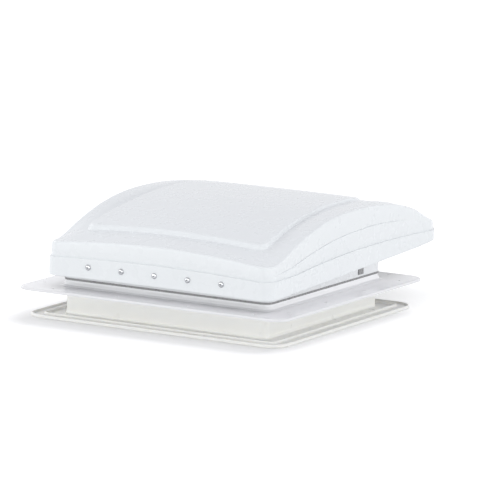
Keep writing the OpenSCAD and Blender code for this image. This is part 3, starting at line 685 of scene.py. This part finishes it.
@dataclass
class LidLines:
    """Height lines and plan of the lid, in millimetres."""

    half: float = 189.0
    front: float = 204.0
    tail: float = 352.0
    front_round: float = 24.0
    tail_round: float = 44.0
    least_round: float = 14.0
    front_tighten: float = 0.6
    tail_tighten: float = 0.4
    tail_bow: float = 8.0
    bow_ramp: Ramp = Ramp(120.0, 230.0)

    edge_low: float = 22.5
    edge_crown: float = 2.0
    edge_slope: Curve = Curve(0.04, -170.0, 1.0, 1.0)
    edge_tail: Curve = Curve(5.0, 250.0, 106.0, 2.0)

    step_low: float = 50.0
    step_crown: float = 6.0
    step_climb: Climb = Climb(14.0, -125.0, 280.0)
    step_tail: Curve = Curve(3.0, 150.0, 150.0, 1.6)

    crease_front: float = 0.35
    crease_gain: float = 0.16
    crease_power: float = 0.6
    crease_ramp: Ramp = Ramp(-115.0, 275.0)

    shoulder_low: float = 70.0
    shoulder_climb: Climb = Climb(52.0, -165.0, 235.0)
    shoulder_tail: Curve = Curve(55.0, 75.0, 275.0, 2.3)
    arch: float = 7.0
    front_arch: float = 5.5
    front_arch_ramp: Ramp = Ramp(-90.0, -80.0)
    tail_dip: float = 6.0
    tail_dip_at: float = 305.0
    tail_dip_width: float = 35.0

    panel_half: float = 152.0
    panel_front: float = 152.0
    panel_tail: float = 196.0
    panel_front_round: float = 16.0
    panel_tail_round: float = 45.0
    panel_low: float = 87.5
    panel_climb: Climb = Climb(39.0, -165.0, 280.0)
    panel_fall: Curve = Curve(42.0, 115.0, 200.0, 1.8)
    bulge: float = 7.5
    bulge_loss: float = 6.5
    bulge_ramp: Ramp = Ramp(-155.0, 250.0)
    riser: float = 7.0
    riser_loss: float = 4.0
    riser_ramp: Ramp = Ramp(-150.0, 330.0)
    narrowing: float = 0.078
    narrowing_power: float = 1.6
    narrowing_ramp: Ramp = Ramp(-155.0, 245.0)
    shelf_lift: float = 1.0

    front_points: int = 40
    front_turn_points: int = 22
    side_points: int = 96
    tail_turn_points: int = 30
    tail_points: int = 34

    def crown(self, x: np.ndarray) -> np.ndarray:
        """1 on the middle line, 0 at the sides."""
        return 1 - (x / self.half) ** 2

    def edge(self, x: np.ndarray, y: np.ndarray) -> np.ndarray:
        """Lower edge of the skirt."""
        crown = self.edge_crown * self.crown(x)
        return self.edge_low + crown + self.edge_slope.at(y) + self.edge_tail.at(y)

    def step(self, x: np.ndarray, y: np.ndarray) -> np.ndarray:
        """Small ledge round the lid."""
        crown = self.step_crown * self.crown(x)
        return self.step_low + self.step_climb.at(y) - self.step_tail.at(y) + crown

    def shoulder(self, x: np.ndarray, y: np.ndarray) -> np.ndarray:
        """Line where the side turns into the top.

        Args:
            x: places across the lid.
            y: places along the lid.

        Returns:
            The heights.
        """
        arch = self.arch + self.front_arch * self.front_arch_ramp.at(y)
        dip = self.tail_dip * np.exp(-((y - self.tail_dip_at) / self.tail_dip_width) ** 2)
        drop = self.shoulder_tail.at(y) + dip
        return self.shoulder_low + self.shoulder_climb.at(y) - drop + arch * self.crown(x)

    def turn(self, x: np.ndarray, y: np.ndarray, share: float) -> np.ndarray:
        """Height between the side crease and the shoulder.

        Args:
            x: places across the lid.
            y: places along the lid.
            share: 0 on the crease, 1 on the shoulder.

        Returns:
            The heights.
        """
        step = self.step(x, y)
        top = self.shoulder(x, y)
        level = self.crease_front + self.crease_gain * self.crease_ramp.at(y) ** self.crease_power
        crease = step + level * (top - step)
        return crease + share * (top - crease)

    def panel(self, x: np.ndarray, y: np.ndarray) -> np.ndarray:
        """Raised top panel.

        Args:
            x: places across the lid.
            y: places along the lid.

        Returns:
            The heights.
        """
        bulge = self.bulge - self.bulge_loss * self.bulge_ramp.at(y)
        sides = self.panel_low + self.panel_climb.at(y) - self.panel_fall.at(y)
        return sides + bulge * (1 - (x / self.panel_half) ** 2)

    def panel_drop(self, y: np.ndarray) -> np.ndarray:
        """Height of the riser round the raised panel."""
        return self.riser - self.riser_loss * self.riser_ramp.at(y)

    def panel_width(self, y: np.ndarray) -> np.ndarray:
        """Share of its front width that the panel has further back."""
        return 1 - self.narrowing * (1 - (1 - self.narrowing_ramp.at(y)) ** self.narrowing_power)

    def shelf(self, x: np.ndarray, y: np.ndarray) -> np.ndarray:
        """Height a little over half way between the shoulder and the foot of the panel's riser."""
        return (self.shoulder(x, y) + self.panel(x, y) - self.panel_drop(y)) / 2 + self.shelf_lift

    def outline(self, half: float, front: float, tail: float, front_round: float, tail_round: float,
                narrows: bool = False) -> np.ndarray:
        """Rounded outline with the same number of points for any size, bowed at the tail.

        Args:
            half: half its width.
            front: Y of its front.
            tail: Y of its tail.
            front_round: radius of its front corners.
            tail_round: radius of its tail corners.
            narrows: whether it narrows to the tail as the panel does.

        Returns:
            The points in plan.
        """
        front_turn = np.radians(np.linspace(0, 90, self.front_turn_points, endpoint=False))
        tail_turn = np.radians(np.linspace(0, 90, self.tail_turn_points, endpoint=False))
        side = np.linspace(front + front_round, tail - tail_round, self.side_points, endpoint=False)
        x = np.concatenate([np.linspace(0, half - front_round, self.front_points, endpoint=False),
                            half - front_round + front_round * np.sin(front_turn),
                            np.full(self.side_points, half),
                            half - tail_round + tail_round * np.cos(tail_turn),
                            np.linspace(half - tail_round, 0, self.tail_points)])
        y = np.concatenate([np.full(self.front_points, front),
                            front + front_round - front_round * np.cos(front_turn),
                            side,
                            tail - tail_round + tail_round * np.sin(tail_turn),
                            np.full(self.tail_points, tail)])
        x = np.concatenate([x, -x[-2:0:-1]])
        y = np.concatenate([y, y[-2:0:-1]])
        if narrows:
            x = x * self.panel_width(y)
        return np.stack([x, y + self.tail_bow * self.crown(x) * self.bow_ramp.at(y)], axis=1)

    def ring(self, inset: float) -> np.ndarray:
        """Outline of the lid's wall, moved in by inset."""
        rounds = (max(self.least_round, self.front_round - self.front_tighten * inset),
                  self.tail_round - self.tail_tighten * inset)
        return self.outline(self.half - inset, inset - self.front, self.tail - inset, *rounds)

    def panel_ring(self, inset: float) -> np.ndarray:
        """Outline of the raised panel, moved in by inset."""
        rounds = (self.panel_front_round - inset / 2, self.panel_tail_round - inset / 2)
        return self.outline(self.panel_half - inset, inset - self.panel_front, self.panel_tail - inset,
                            *rounds, narrows=True)


@dataclass
class KeyRings:
    """Key rings of one face of the lid, and the steps from each ring to the next."""

    rows: list[np.ndarray] = field(default_factory=list)
    steps: list[int] = field(default_factory=list)

    def add(self, plan: np.ndarray, height: np.ndarray, count: int) -> None:
        """Add one ring and the number of steps that follow it."""
        self.rows.append(np.column_stack([plan, height]))
        self.steps.append(count)

    def dense(self) -> np.ndarray:
        """Rings of the smooth face."""
        return spline_rings(np.array(self.rows), self.steps[:-1])


@dataclass
class PanScrew:
    """Pan head screw along +Z with a cross recess, its seat at z = 0, in millimetres.

    Rows hold a radius, an inset from the head's radius or a share of the cross, and a height.
    """

    head: float = 4.4
    sides: int = 48
    shank_rows: Pairs = ((0.0, -11.0), (0.9, -10.6), (2.0, -9.0), (2.0, 0.0))
    head_rows: Pairs = ((0.2, 0.0), (0.0, 0.25), (0.0, 0.85), (0.25, 1.35), (0.9, 1.85), (1.9, 2.2),
                        (2.7, 2.33))
    recess_rows: Pairs = ((1.0, 2.34), (0.93, 1.6), (0.6, 0.9), (0.1, 0.8))
    cross_core: float = 0.55
    cross_arm: float = 1.35
    cross_gap: float = 0.62

    def mesh(self) -> MeshData:
        """Rings from the point to the floor of the recess.

        Returns:
            Points and faces.
        """
        rings = [round_ring(radius, z, self.sides) for radius, z in self.shank_rows]
        rings += [round_ring(self.head - inset, z, self.sides) for inset, z in self.head_rows]
        angles = 2 * math.pi * np.arange(self.sides) / self.sides
        arm = np.maximum(np.abs(np.cos(2 * angles)) - self.cross_gap, 0) / (1 - self.cross_gap)
        reach = self.cross_core + self.cross_arm * np.sqrt(arm)
        rings += [round_ring(reach * share, z, self.sides) for share, z in self.recess_rows]
        faces = ring_faces(self.sides, len(rings))
        end = self.sides * (len(rings) - 1)
        faces.append(tuple(range(end, end + self.sides)))
        return np.concatenate(rings), faces


@dataclass
class Lid:
    """Domed lid with its skirt, ledge, side crease, shoulder and raised panel, and its five screws.

    Rows of the outer face hold an inset or a share, then a lift or a share, and last the steps to the
    next ring. Some rows of the inner face also hold a depth below the line that they follow.
    """

    maker: MeshMaker
    lines: LidLines = field(default_factory=LidLines)
    screw: PanScrew = field(default_factory=PanScrew)
    screw_gap: float = 56.0
    screw_z: float = 41.0
    screw_turns: tuple[float, ...] = (12.0, 80.0, 47.0, 5.0, 62.0)
    shell_smooth: float = 40.0
    screw_smooth: float = 30.0
    middle: float = 30.0

    rim_rows: Rows = ((0.9, 0.0, 2), (0.25, 0.25, 2), (0.0, 1.0, 2), (0.0, 5.0, 4))
    groove_rows: Rows = ((0.0, -5.0, 2), (0.0, -1.0, 2), (0.07, -0.7, 2), (0.25, -0.55, 2), (0.6, -0.5, 2),
                         (0.95, -0.55, 2), (1.5, -0.95, 2), (2.1, -1.0, 2), (2.3, -0.4, 2), (2.15, 0.4, 2))
    wall_inset: float = 2.2
    crease_inset: float = 3.7
    crease_room: float = 18.0
    crease_least: float = 0.25
    crease_starts: Ramp = Ramp(-196.0, 60.0)
    crease_ends: Ramp = Ramp(270.0, -110.0)
    crease_rows: Rows = ((0.0, -1.4, 2), (0.05, -0.7, 2), (0.85, -0.15, 2), (0.9, 0.15, 2), (0.3, 0.8, 2),
                         (0.35, 1.8, 2))
    turn_rows: Rows = ((2.5, 0.45, 3), (2.75, 0.72, 2), (3.0, 0.84, 2), (3.5, 0.925, 2), (4.4, 0.975, 2),
                       (6.0, 0.995, 2), (8.5, 1.0, 5))
    shoulder_inset: float = 8.5
    shelf_steps: int = 5
    foot_rows: ShareRows = ((0.86, 2), (0.97, 2))
    riser_rows: Rows = ((0.3, 0.9, 2), (0.9, 0.62, 2), (1.7, 0.32, 2), (2.4, 0.15, 2), (3.4, 0.05, 2),
                        (5.5, 0.0, 3))
    crown_inset: float = 5.5
    crown_rows: ShareRows = ((0.93, 3), (0.75, 4), (0.45, 3), (0.15, 1), (0.04, 1))

    wall: float = 2.6
    crown_wall: float = 2.8
    inner_rim_rows: Rows = ((-0.6, 0.0, 2), (0.0, 0.6, 3))
    inner_step_drop: float = 2.6
    inner_step_steps: int = 4
    inner_turn_rows: DropRows = ((2.2, 0.0, 1.0, 3), (4.2, 0.82, 2.0, 3), (8.5, 1.0, 2.8, 5))
    inner_shelf_inset: float = 3.0
    inner_shelf_steps: int = 4
    inner_panel_rows: DropRows = ((3.0, 1.0, 2.6, 3), (6.0, 0.16, 3.0, 3), (9.5, 0.0, 2.8, 3))
    inner_crown_inset: float = 9.5
    inner_crown_rows: ShareRows = ((0.8, 3), (0.45, 2), (0.15, 1), (0.04, 1))

    def shrunk_panel(self, inset: float, scale: float) -> np.ndarray:
        """Outline of the panel, moved in by inset and shrunk towards the middle of the top."""
        middle = (0.0, self.middle)
        return (self.lines.panel_ring(inset) - middle) * scale + middle

    def add_skirt(self, keys: KeyRings) -> None:
        """Add the outer rings from the rim to the groove over the step line.

        Args:
            keys: rings of the outer face.
        """
        lines = self.lines
        for inset, lift, count in self.rim_rows:
            plan = lines.ring(inset)
            keys.add(plan, lines.edge(*plan.T) + lift, count)
        for inset, lift, count in self.groove_rows:
            plan = lines.ring(inset)
            keys.add(plan, lines.step(*plan.T) + lift, count)

    def add_side(self, keys: KeyRings) -> None:
        """Add the outer rings from the side crease, which fades out at both ends, to the shoulder.

        Args:
            keys: rings of the outer face.
        """
        lines = self.lines
        wall = lines.ring(self.wall_inset)
        x, y = wall.T
        room = (lines.shoulder(x, y) - lines.step(x, y)) / self.crease_room
        room = np.clip(room, self.crease_least, 1)
        fade = self.crease_starts.at(y) * self.crease_ends.at(y)
        soft = fade * fade * (3 - 2 * fade)
        ledge = (lines.ring(self.crease_inset) - wall) * soft[:, None]
        crease = lines.turn(x, y, 0.0)
        for share, lift, count in self.crease_rows:
            keys.add(wall + ledge * share, crease + lift * room, count)
        for inset, share, count in self.turn_rows:
            plan = lines.ring(inset)
            keys.add(plan, lines.turn(*plan.T, share), count)

    def add_top(self, keys: KeyRings) -> None:
        """Add the outer rings of the shelf, the panel's riser and the panel.

        Args:
            keys: rings of the outer face.
        """
        lines = self.lines
        foot = lines.panel_ring(0.0)
        foot_z = lines.panel(*foot.T) - lines.panel_drop(foot[:, 1])
        shelf = (lines.ring(self.shoulder_inset) + foot) / 2
        shelf_z = lines.shelf(*shelf.T)
        keys.add(shelf, shelf_z, self.shelf_steps)
        for share, count in self.foot_rows:
            keys.add(shelf + (foot - shelf) * share, shelf_z + (foot_z - shelf_z) * share, count)
        for inset, share, count in self.riser_rows:
            plan = lines.panel_ring(inset)
            keys.add(plan, lines.panel(*plan.T) - share * lines.panel_drop(plan[:, 1]), count)
        for scale, count in self.crown_rows:
            plan = self.shrunk_panel(self.crown_inset, scale)
            keys.add(plan, lines.panel(*plan.T), count)

    def outer_face(self) -> np.ndarray:
        """Dense rings of the outer face, from the rim to the crown.

        Returns:
            Array of rings.
        """
        keys = KeyRings()
        self.add_skirt(keys)
        self.add_side(keys)
        self.add_top(keys)
        return keys.dense()

    def inner_face(self) -> np.ndarray:
        """Dense rings of the inner face, from the rim to the crown.

        Returns:
            Array of rings.
        """
        lines = self.lines
        keys = KeyRings()
        for inset, lift, count in self.inner_rim_rows:
            plan = lines.ring(self.wall + inset)
            keys.add(plan, lines.edge(*plan.T) + lift, count)
        plan = lines.ring(self.wall)
        keys.add(plan, lines.step(*plan.T) - self.inner_step_drop, self.inner_step_steps)
        for inset, share, drop, count in self.inner_turn_rows:
            plan = lines.ring(self.wall + inset)
            keys.add(plan, lines.turn(*plan.T, share) - drop, count)
        plan = (lines.ring(self.wall + self.shoulder_inset) + lines.panel_ring(self.inner_shelf_inset)) / 2
        keys.add(plan, lines.shelf(*plan.T) - self.crown_wall, self.inner_shelf_steps)
        for inset, share, drop, count in self.inner_panel_rows:
            plan = lines.panel_ring(inset)
            keys.add(plan, lines.panel(*plan.T) - share * lines.panel_drop(plan[:, 1]) - drop, count)
        for scale, count in self.inner_crown_rows:
            plan = self.shrunk_panel(self.inner_crown_inset, scale)
            keys.add(plan, lines.panel(*plan.T) - self.crown_wall, count)
        return keys.dense()

    def build_shell(self) -> None:
        """Make the dense shell: both faces, joined at the rim and closed on top."""
        rings = np.concatenate([self.inner_face()[::-1], self.outer_face()])
        count = rings.shape[1]
        end = count * (len(rings) - 1)
        inner_tip = count * len(rings)
        outer_tip = inner_tip + 1
        top = float(self.lines.panel(np.float64(0), np.float64(self.middle)))
        tips = np.array([[0.0, self.middle, top - self.crown_wall], [0.0, self.middle, top]])
        faces = ring_faces(count, len(rings))
        for i in range(count):
            j = (i + 1) % count
            faces.append((i, j, inner_tip))
            faces.append((end + i, end + j, outer_tip))
        stock = MeshStock()
        stock.add(np.concatenate([rings.reshape(-1, 3), tips]), faces)
        self.maker.piece("lid_dome", stock, "lid_white", Body.LID, ["lid_shell"], self.shell_smooth)

    def build_screws(self) -> None:
        """Make the screws in the front face, each turned by its own angle."""
        points, faces = self.screw.mesh()
        stock = MeshStock()
        first = -(len(self.screw_turns) // 2)
        for place, angle in enumerate(self.screw_turns, first):
            across, upward, outwards = turned(points, angle).T
            stock.add(np.column_stack([across + place * self.screw_gap, -self.lines.front - outwards,
                                       upward + self.screw_z]), faces)
        self.maker.piece("lid_pan_screws", stock, "zinc_steel", Body.LID, ["lid_screws"], self.screw_smooth)

    def build(self) -> None:
        """Build all pieces of the lid."""
        self.build_shell()
        self.build_screws()


@dataclass
class FanRotor:
    """Ten-bladed rotor with a dished hub, in millimetres."""

    maker: MeshMaker
    smooth: float = 35.0
    hub: float = 34.0
    hub_sides: int = 72
    hub_low: float = -16.0
    hub_high: float = 11.0
    hub_wall: float = 3.0
    hub_edge: float = 0.6
    hub_round: float = 2.5
    hub_round_middle: float = 0.8
    web_low: float = 7.0
    seat: float = 12.0
    bore: float = 4.0
    boss: float = 9.0
    boss_low: float = -14.0
    ribs: int = 6
    rib_half: float = 1.0
    rib_start: float = 8.0
    rib_sink: float = 2.0
    rib_low: float = -12.0
    rib_high: float = 8.0

    tip: float = 151.0
    tip_gap: float = 1.0
    root_sink: float = 2.2
    blades: int = 10
    first_blade: float = 9.0
    sections: int = 30
    chord_points: int = 18
    chord_root: float = 44.0
    chord_gain: float = 34.0
    chord_loss: float = 14.0
    pitch_root: float = 38.0
    pitch_loss: float = 22.0
    camber: float = 5.5
    skin: float = 0.6
    belly: float = 2.8
    sweep: float = 18.0
    flatten: float = 0.72
    blade_drop: float = 2.0
    hug: float = 0.98

    def section(self, share: float) -> np.ndarray:
        """Closed section of a blade that points along +X.

        Args:
            share: 0 at the root, 1 at the tip.

        Returns:
            The points of its upper and lower side.
        """
        root = self.hub - self.root_sink
        radius = root + (self.tip - self.tip_gap - root) * share
        chord = self.chord_root + self.chord_gain * share - self.chord_loss * share * share
        pitch = math.radians(self.pitch_root - self.pitch_loss * share)
        along = np.linspace(0, 1, self.chord_points)
        u = np.concatenate([along, along[::-1]])
        side = np.repeat([1.0, -1.0], self.chord_points)
        flat = (u - 0.5) * chord
        bent = self.camber * (1 - (2 * u - 1) ** 2) + side * (self.skin + self.belly * u * (1 - u))
        y = flat * math.cos(pitch) - bent * math.sin(pitch) + self.sweep * share * share
        z = flat * math.sin(pitch) * self.flatten + bent * math.cos(pitch) - self.blade_drop
        x = np.sqrt(np.maximum(1, radius * radius - self.hug * y * y))
        return np.column_stack([x, y, z])

    def hub_profile(self) -> list[tuple[float, float]]:
        """Closed profile of the dished hub with its boss.

        Returns:
            Radius and height of each corner.
        """
        hub, high, low = self.hub, self.hub_high, self.hub_low
        outside = [(hub - self.hub_wall, low), (hub - self.hub_edge, low), (hub, low + self.hub_edge)]
        top = [(hub, high - self.hub_round), (hub - self.hub_round_middle, high - self.hub_round_middle),
               (hub - self.hub_round, high), (self.seat, high), (self.bore, high)]
        boss = [(self.bore, self.boss_low), (self.boss - self.hub_edge, self.boss_low),
                (self.boss, self.boss_low + self.hub_edge), (self.boss, self.web_low)]
        return outside + top + boss + [(hub - self.hub_wall, self.web_low)]

    def build(self) -> None:
        """Make hub, ribs and blades as one moulding."""
        stock = MeshStock()
        points, faces = tube([self.section(share) for share in np.linspace(0, 1, self.sections)])
        for k in range(self.blades):
            stock.add(turned(points, 360.0 * k / self.blades + self.first_blade), faces)
        stock.add(*lathe(self.hub_profile(), self.hub_sides))
        points, faces = bar((self.rib_start, -self.rib_half, self.rib_low),
                            (self.hub - self.rib_sink, self.rib_half, self.rib_high))
        for k in range(self.ribs):
            stock.add(turned(points, 360.0 * k / self.ribs), faces)
        self.maker.piece("fan_moulding", stock, "black_plastic", Body.FAN, ["fan_rotor"], self.smooth)


@dataclass
class InsectNet:
    """Fine wire net held in the screen frame, in millimetres."""

    maker: MeshMaker
    smooth: float = 60.0
    radius: float = 143.8
    pitch: float = 2.6
    wire: float = 0.17
    level: float = -24.6
    shortest: float = 6.0
    corners: tuple[float, ...] = (45.0, 135.0, 225.0, 315.0)

    def strand(self, offset: float, half: float, level: float) -> MeshData:
        """One wire along X.

        Args:
            offset: Y of the wire.
            half: half its length.
            level: height of its middle.

        Returns:
            Points and faces.
        """
        angles = np.radians(self.corners)
        y = offset + self.wire * np.cos(angles)
        z = level + self.wire * np.sin(angles)
        return tube([np.column_stack([np.full(len(angles), x), y, z]) for x in (-half, half)])

    def build(self) -> None:
        """Make two crossing layers of wires."""
        stock = MeshStock()
        reach = int(self.radius / self.pitch)
        for k in range(-reach, reach + 1):
            offset = k * self.pitch
            half = math.sqrt(self.radius ** 2 - offset * offset)
            if half < self.shortest:
                continue
            stock.add(*self.strand(offset, half, self.level - self.wire))
            points, faces = self.strand(offset, half, self.level + self.wire)
            stock.add(points[:, [1, 0, 2]], faces)
        self.maker.piece("insect_net", stock, "screen_grey", Body.BASE, ["screen_mesh"], self.smooth)


@dataclass(frozen=True)
class SoftLamp:
    """Wide lamp aimed at the vent: its place in degrees, its size in metres and its power in watts."""

    name: str
    turn: float
    height: float
    wide: float
    tall: float
    power: float

    def build(self, reach: float, tint: Colour) -> None:
        """Make the lamp.

        Args:
            reach: distance from the vent in metres.
            tint: colour of its light.
        """
        data = bpy.data.lights.new(self.name, "AREA")
        data.shape = "RECTANGLE"
        data.size = self.wide
        data.size_y = self.tall
        data.energy = self.power
        data.color = tint
        obj = bpy.data.objects.new(self.name, data)
        away = outward(self.turn, self.height)
        obj.location = away * reach
        obj.rotation_euler = away.to_track_quat("Z", "Y").to_euler()
        bpy.context.scene.collection.objects.link(obj)


@dataclass
class Studio:
    """Pale floor, soft light and the camera of the photograph, in metres and degrees."""

    turn: float = 29.01
    height: float = 9.74
    roll: float = 1.63
    distance: float = 7.0
    frame_pixels: float = 500.0
    pixels_per_metre: float = 670.9
    origin_pixel: tuple[float, float] = (222.8, 284.0)
    sensor: float = 36.0
    view_end: float = 100.0

    floor_level: float = -0.0415
    floor_gap: float = 0.0002
    floor_half: float = 9.0
    opening: float = 0.209
    opening_round: float = 0.027
    opening_points: int = 9
    floor_tone: float = 0.72
    # The floor's glow runs from its low end near the garnish, a painted shadow, to its high end further
    # off, where the floor reads white; the square sets where the painted shadow lies, a little ahead
    # towards the front.
    floor_glow_and_painted_shadow: Span = Span(0.17, 0.47)
    painted_floor_shadow: RoundedSquare = RoundedSquare(0.205, 0.03, 0.05, 0.05)

    rim_light: Span = Span(1.72, 0.0)
    rim_reach: float = 0.6
    rim_tint: Colour = (0.98, 1.0, 1.01)
    dome: float = 1.015
    dome_reach: float = 0.8
    dome_tint: Colour = (0.985, 0.985, 1.02)
    lamp_reach: float = 2.6
    lamp_tint: Colour = (0.985, 1.0, 0.98)
    lamps: tuple[SoftLamp, ...] = (SoftLamp("soft_right", 96.0, 8.0, 4.0, 0.8, 31.0),
                                   SoftLamp("soft_front", -12.0, 6.0, 5.0, 0.55, 38.0),
                                   SoftLamp("soft_left", -95.0, 24.0, 2.0, 1.0, 7.0))

    def camera(self) -> None:
        """Place the camera so that the origin lands on its pixel of the square frame."""
        turn, roll = math.radians(self.turn), math.radians(self.roll)
        right = Vector((math.cos(turn), math.sin(turn), 0.0))
        back = outward(self.turn, self.height)
        up = back.cross(right)
        cam_right = right * math.cos(roll) + up * math.sin(roll)
        cam_up = up * math.cos(roll) - right * math.sin(roll)
        middle = self.frame_pixels / 2
        across = (middle - self.origin_pixel[0]) / self.pixels_per_metre
        upward = (self.origin_pixel[1] - middle) / self.pixels_per_metre
        place = back * self.distance + cam_right * across + cam_up * upward
        data = bpy.data.cameras.new("photo_camera")
        data.sensor_width = self.sensor
        data.lens = self.pixels_per_metre * self.distance * self.sensor / self.frame_pixels
        data.clip_end = self.view_end
        obj = bpy.data.objects.new("photo_camera", data)
        basis = Matrix((cam_right, cam_up, back)).transposed().to_4x4()
        obj.matrix_world = Matrix.Translation(place) @ basis
        bpy.context.scene.collection.objects.link(obj)
        bpy.context.scene.camera = obj

    def floor_mesh(self) -> bpy.types.Mesh:
        """Wide sheet with an opening under the garnish, which lets light reach the cabin side from below.

        Returns:
            The mesh.
        """
        straight = self.opening - self.opening_round
        corner = np.linspace(0, 90, self.opening_points)
        edge = []
        for quarter, (sx, sy) in enumerate(((1, 1), (-1, 1), (-1, -1), (1, -1))):
            for angle in np.radians(corner + 90 * quarter):
                edge.append((sx * straight + self.opening_round * math.cos(angle),
                             sy * straight + self.opening_round * math.sin(angle)))
        level = self.floor_level - self.floor_gap
        grow = self.floor_half / self.opening
        points = [(x * grow, y * grow, level) for x, y in edge] + [(x, y, level) for x, y in edge]
        mesh = bpy.data.meshes.new("studio_floor")
        mesh.from_pydata(points, [], ring_faces(len(edge), 2))
        return mesh

    def floor(self) -> None:
        """Make the floor that the garnish stands on: white where it is seen, with a tight soft shadow that
        is partly cast and partly painted by a dimmer glow near the garnish.
        """
        mesh = self.floor_mesh()
        obj = bpy.data.objects.new("studio_floor", mesh)
        bpy.context.scene.collection.objects.link(obj)
        board = NodeBoard("studio_floor")
        board.put("Base Color", grey(self.floor_tone))
        board.put("Roughness", 1.0)
        board.put("Specular IOR Level", 0.0)
        board.put("Emission Color", opaque(WHITE))
        # Painted shadow: the glow for seen rays drops inside the square round the garnish.
        lift = board.remap(board.outside(self.painted_floor_shadow), self.floor_glow_and_painted_shadow, UNIT)
        board.put("Emission Strength", board.pair(ValueStep.TIMES, board.seen(), lift))
        mesh.materials.append(board.material)
        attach(obj, Body.GARNISH.value)

    def world(self) -> None:
        """Set up the world: white where it is seen, and a dome and a rim of light for the vent."""
        world = bpy.data.worlds.new("studio_world")
        bpy.context.scene.world = world
        world.use_nodes = True
        kit = NodeKit(world.node_tree)
        coords = kit.add("TexCoord", "Generated", {})
        level = kit.add("SeparateXYZ", "Z", {"Vector": coords})
        facing = kit.vector(VectorStep.ALONG, coords, outward(self.turn, 0.0))
        round_about = kit.remap(facing, self.rim_light, Span(-1.0, 1.0))
        low = kit.remap(level, Span(1.0, 0.0), Span(0.0, self.rim_reach))
        rim = kit.background(self.rim_tint, kit.pair(ValueStep.TIMES, round_about, low))
        high = kit.remap(level, Span(0.0, self.dome), Span(0.0, self.dome_reach))
        dome = kit.background(self.dome_tint, high)
        light = kit.add("AddShader", "Shader", {0: rim, 1: dome})
        white = kit.background(WHITE, 1.0)
        kit.end("OutputWorld", kit.add("MixShader", "Shader", {"Fac": kit.seen(), 1: light, 2: white}))

    def build(self) -> None:
        """Set up camera, floor, world and lamps."""
        self.camera()
        self.floor()
        self.world()
        for lamp in self.lamps:
            lamp.build(self.lamp_reach, self.lamp_tint)
        bpy.context.scene.view_settings.view_transform = "Standard"
        log.info("studio: floor, world, camera and %d lamps", len(self.lamps))


def main() -> None:
    """Build the whole scene in order."""
    logging.basicConfig(level=logging.INFO, format="%(name)s: %(message)s")
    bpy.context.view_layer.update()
    palette = Palette()
    palette.build()
    maker = MeshMaker(palette)
    Lid(maker).build()
    FanRotor(maker).build()
    InsectNet(maker).build()
    Studio().build()


if __name__ == "__main__":
    main()
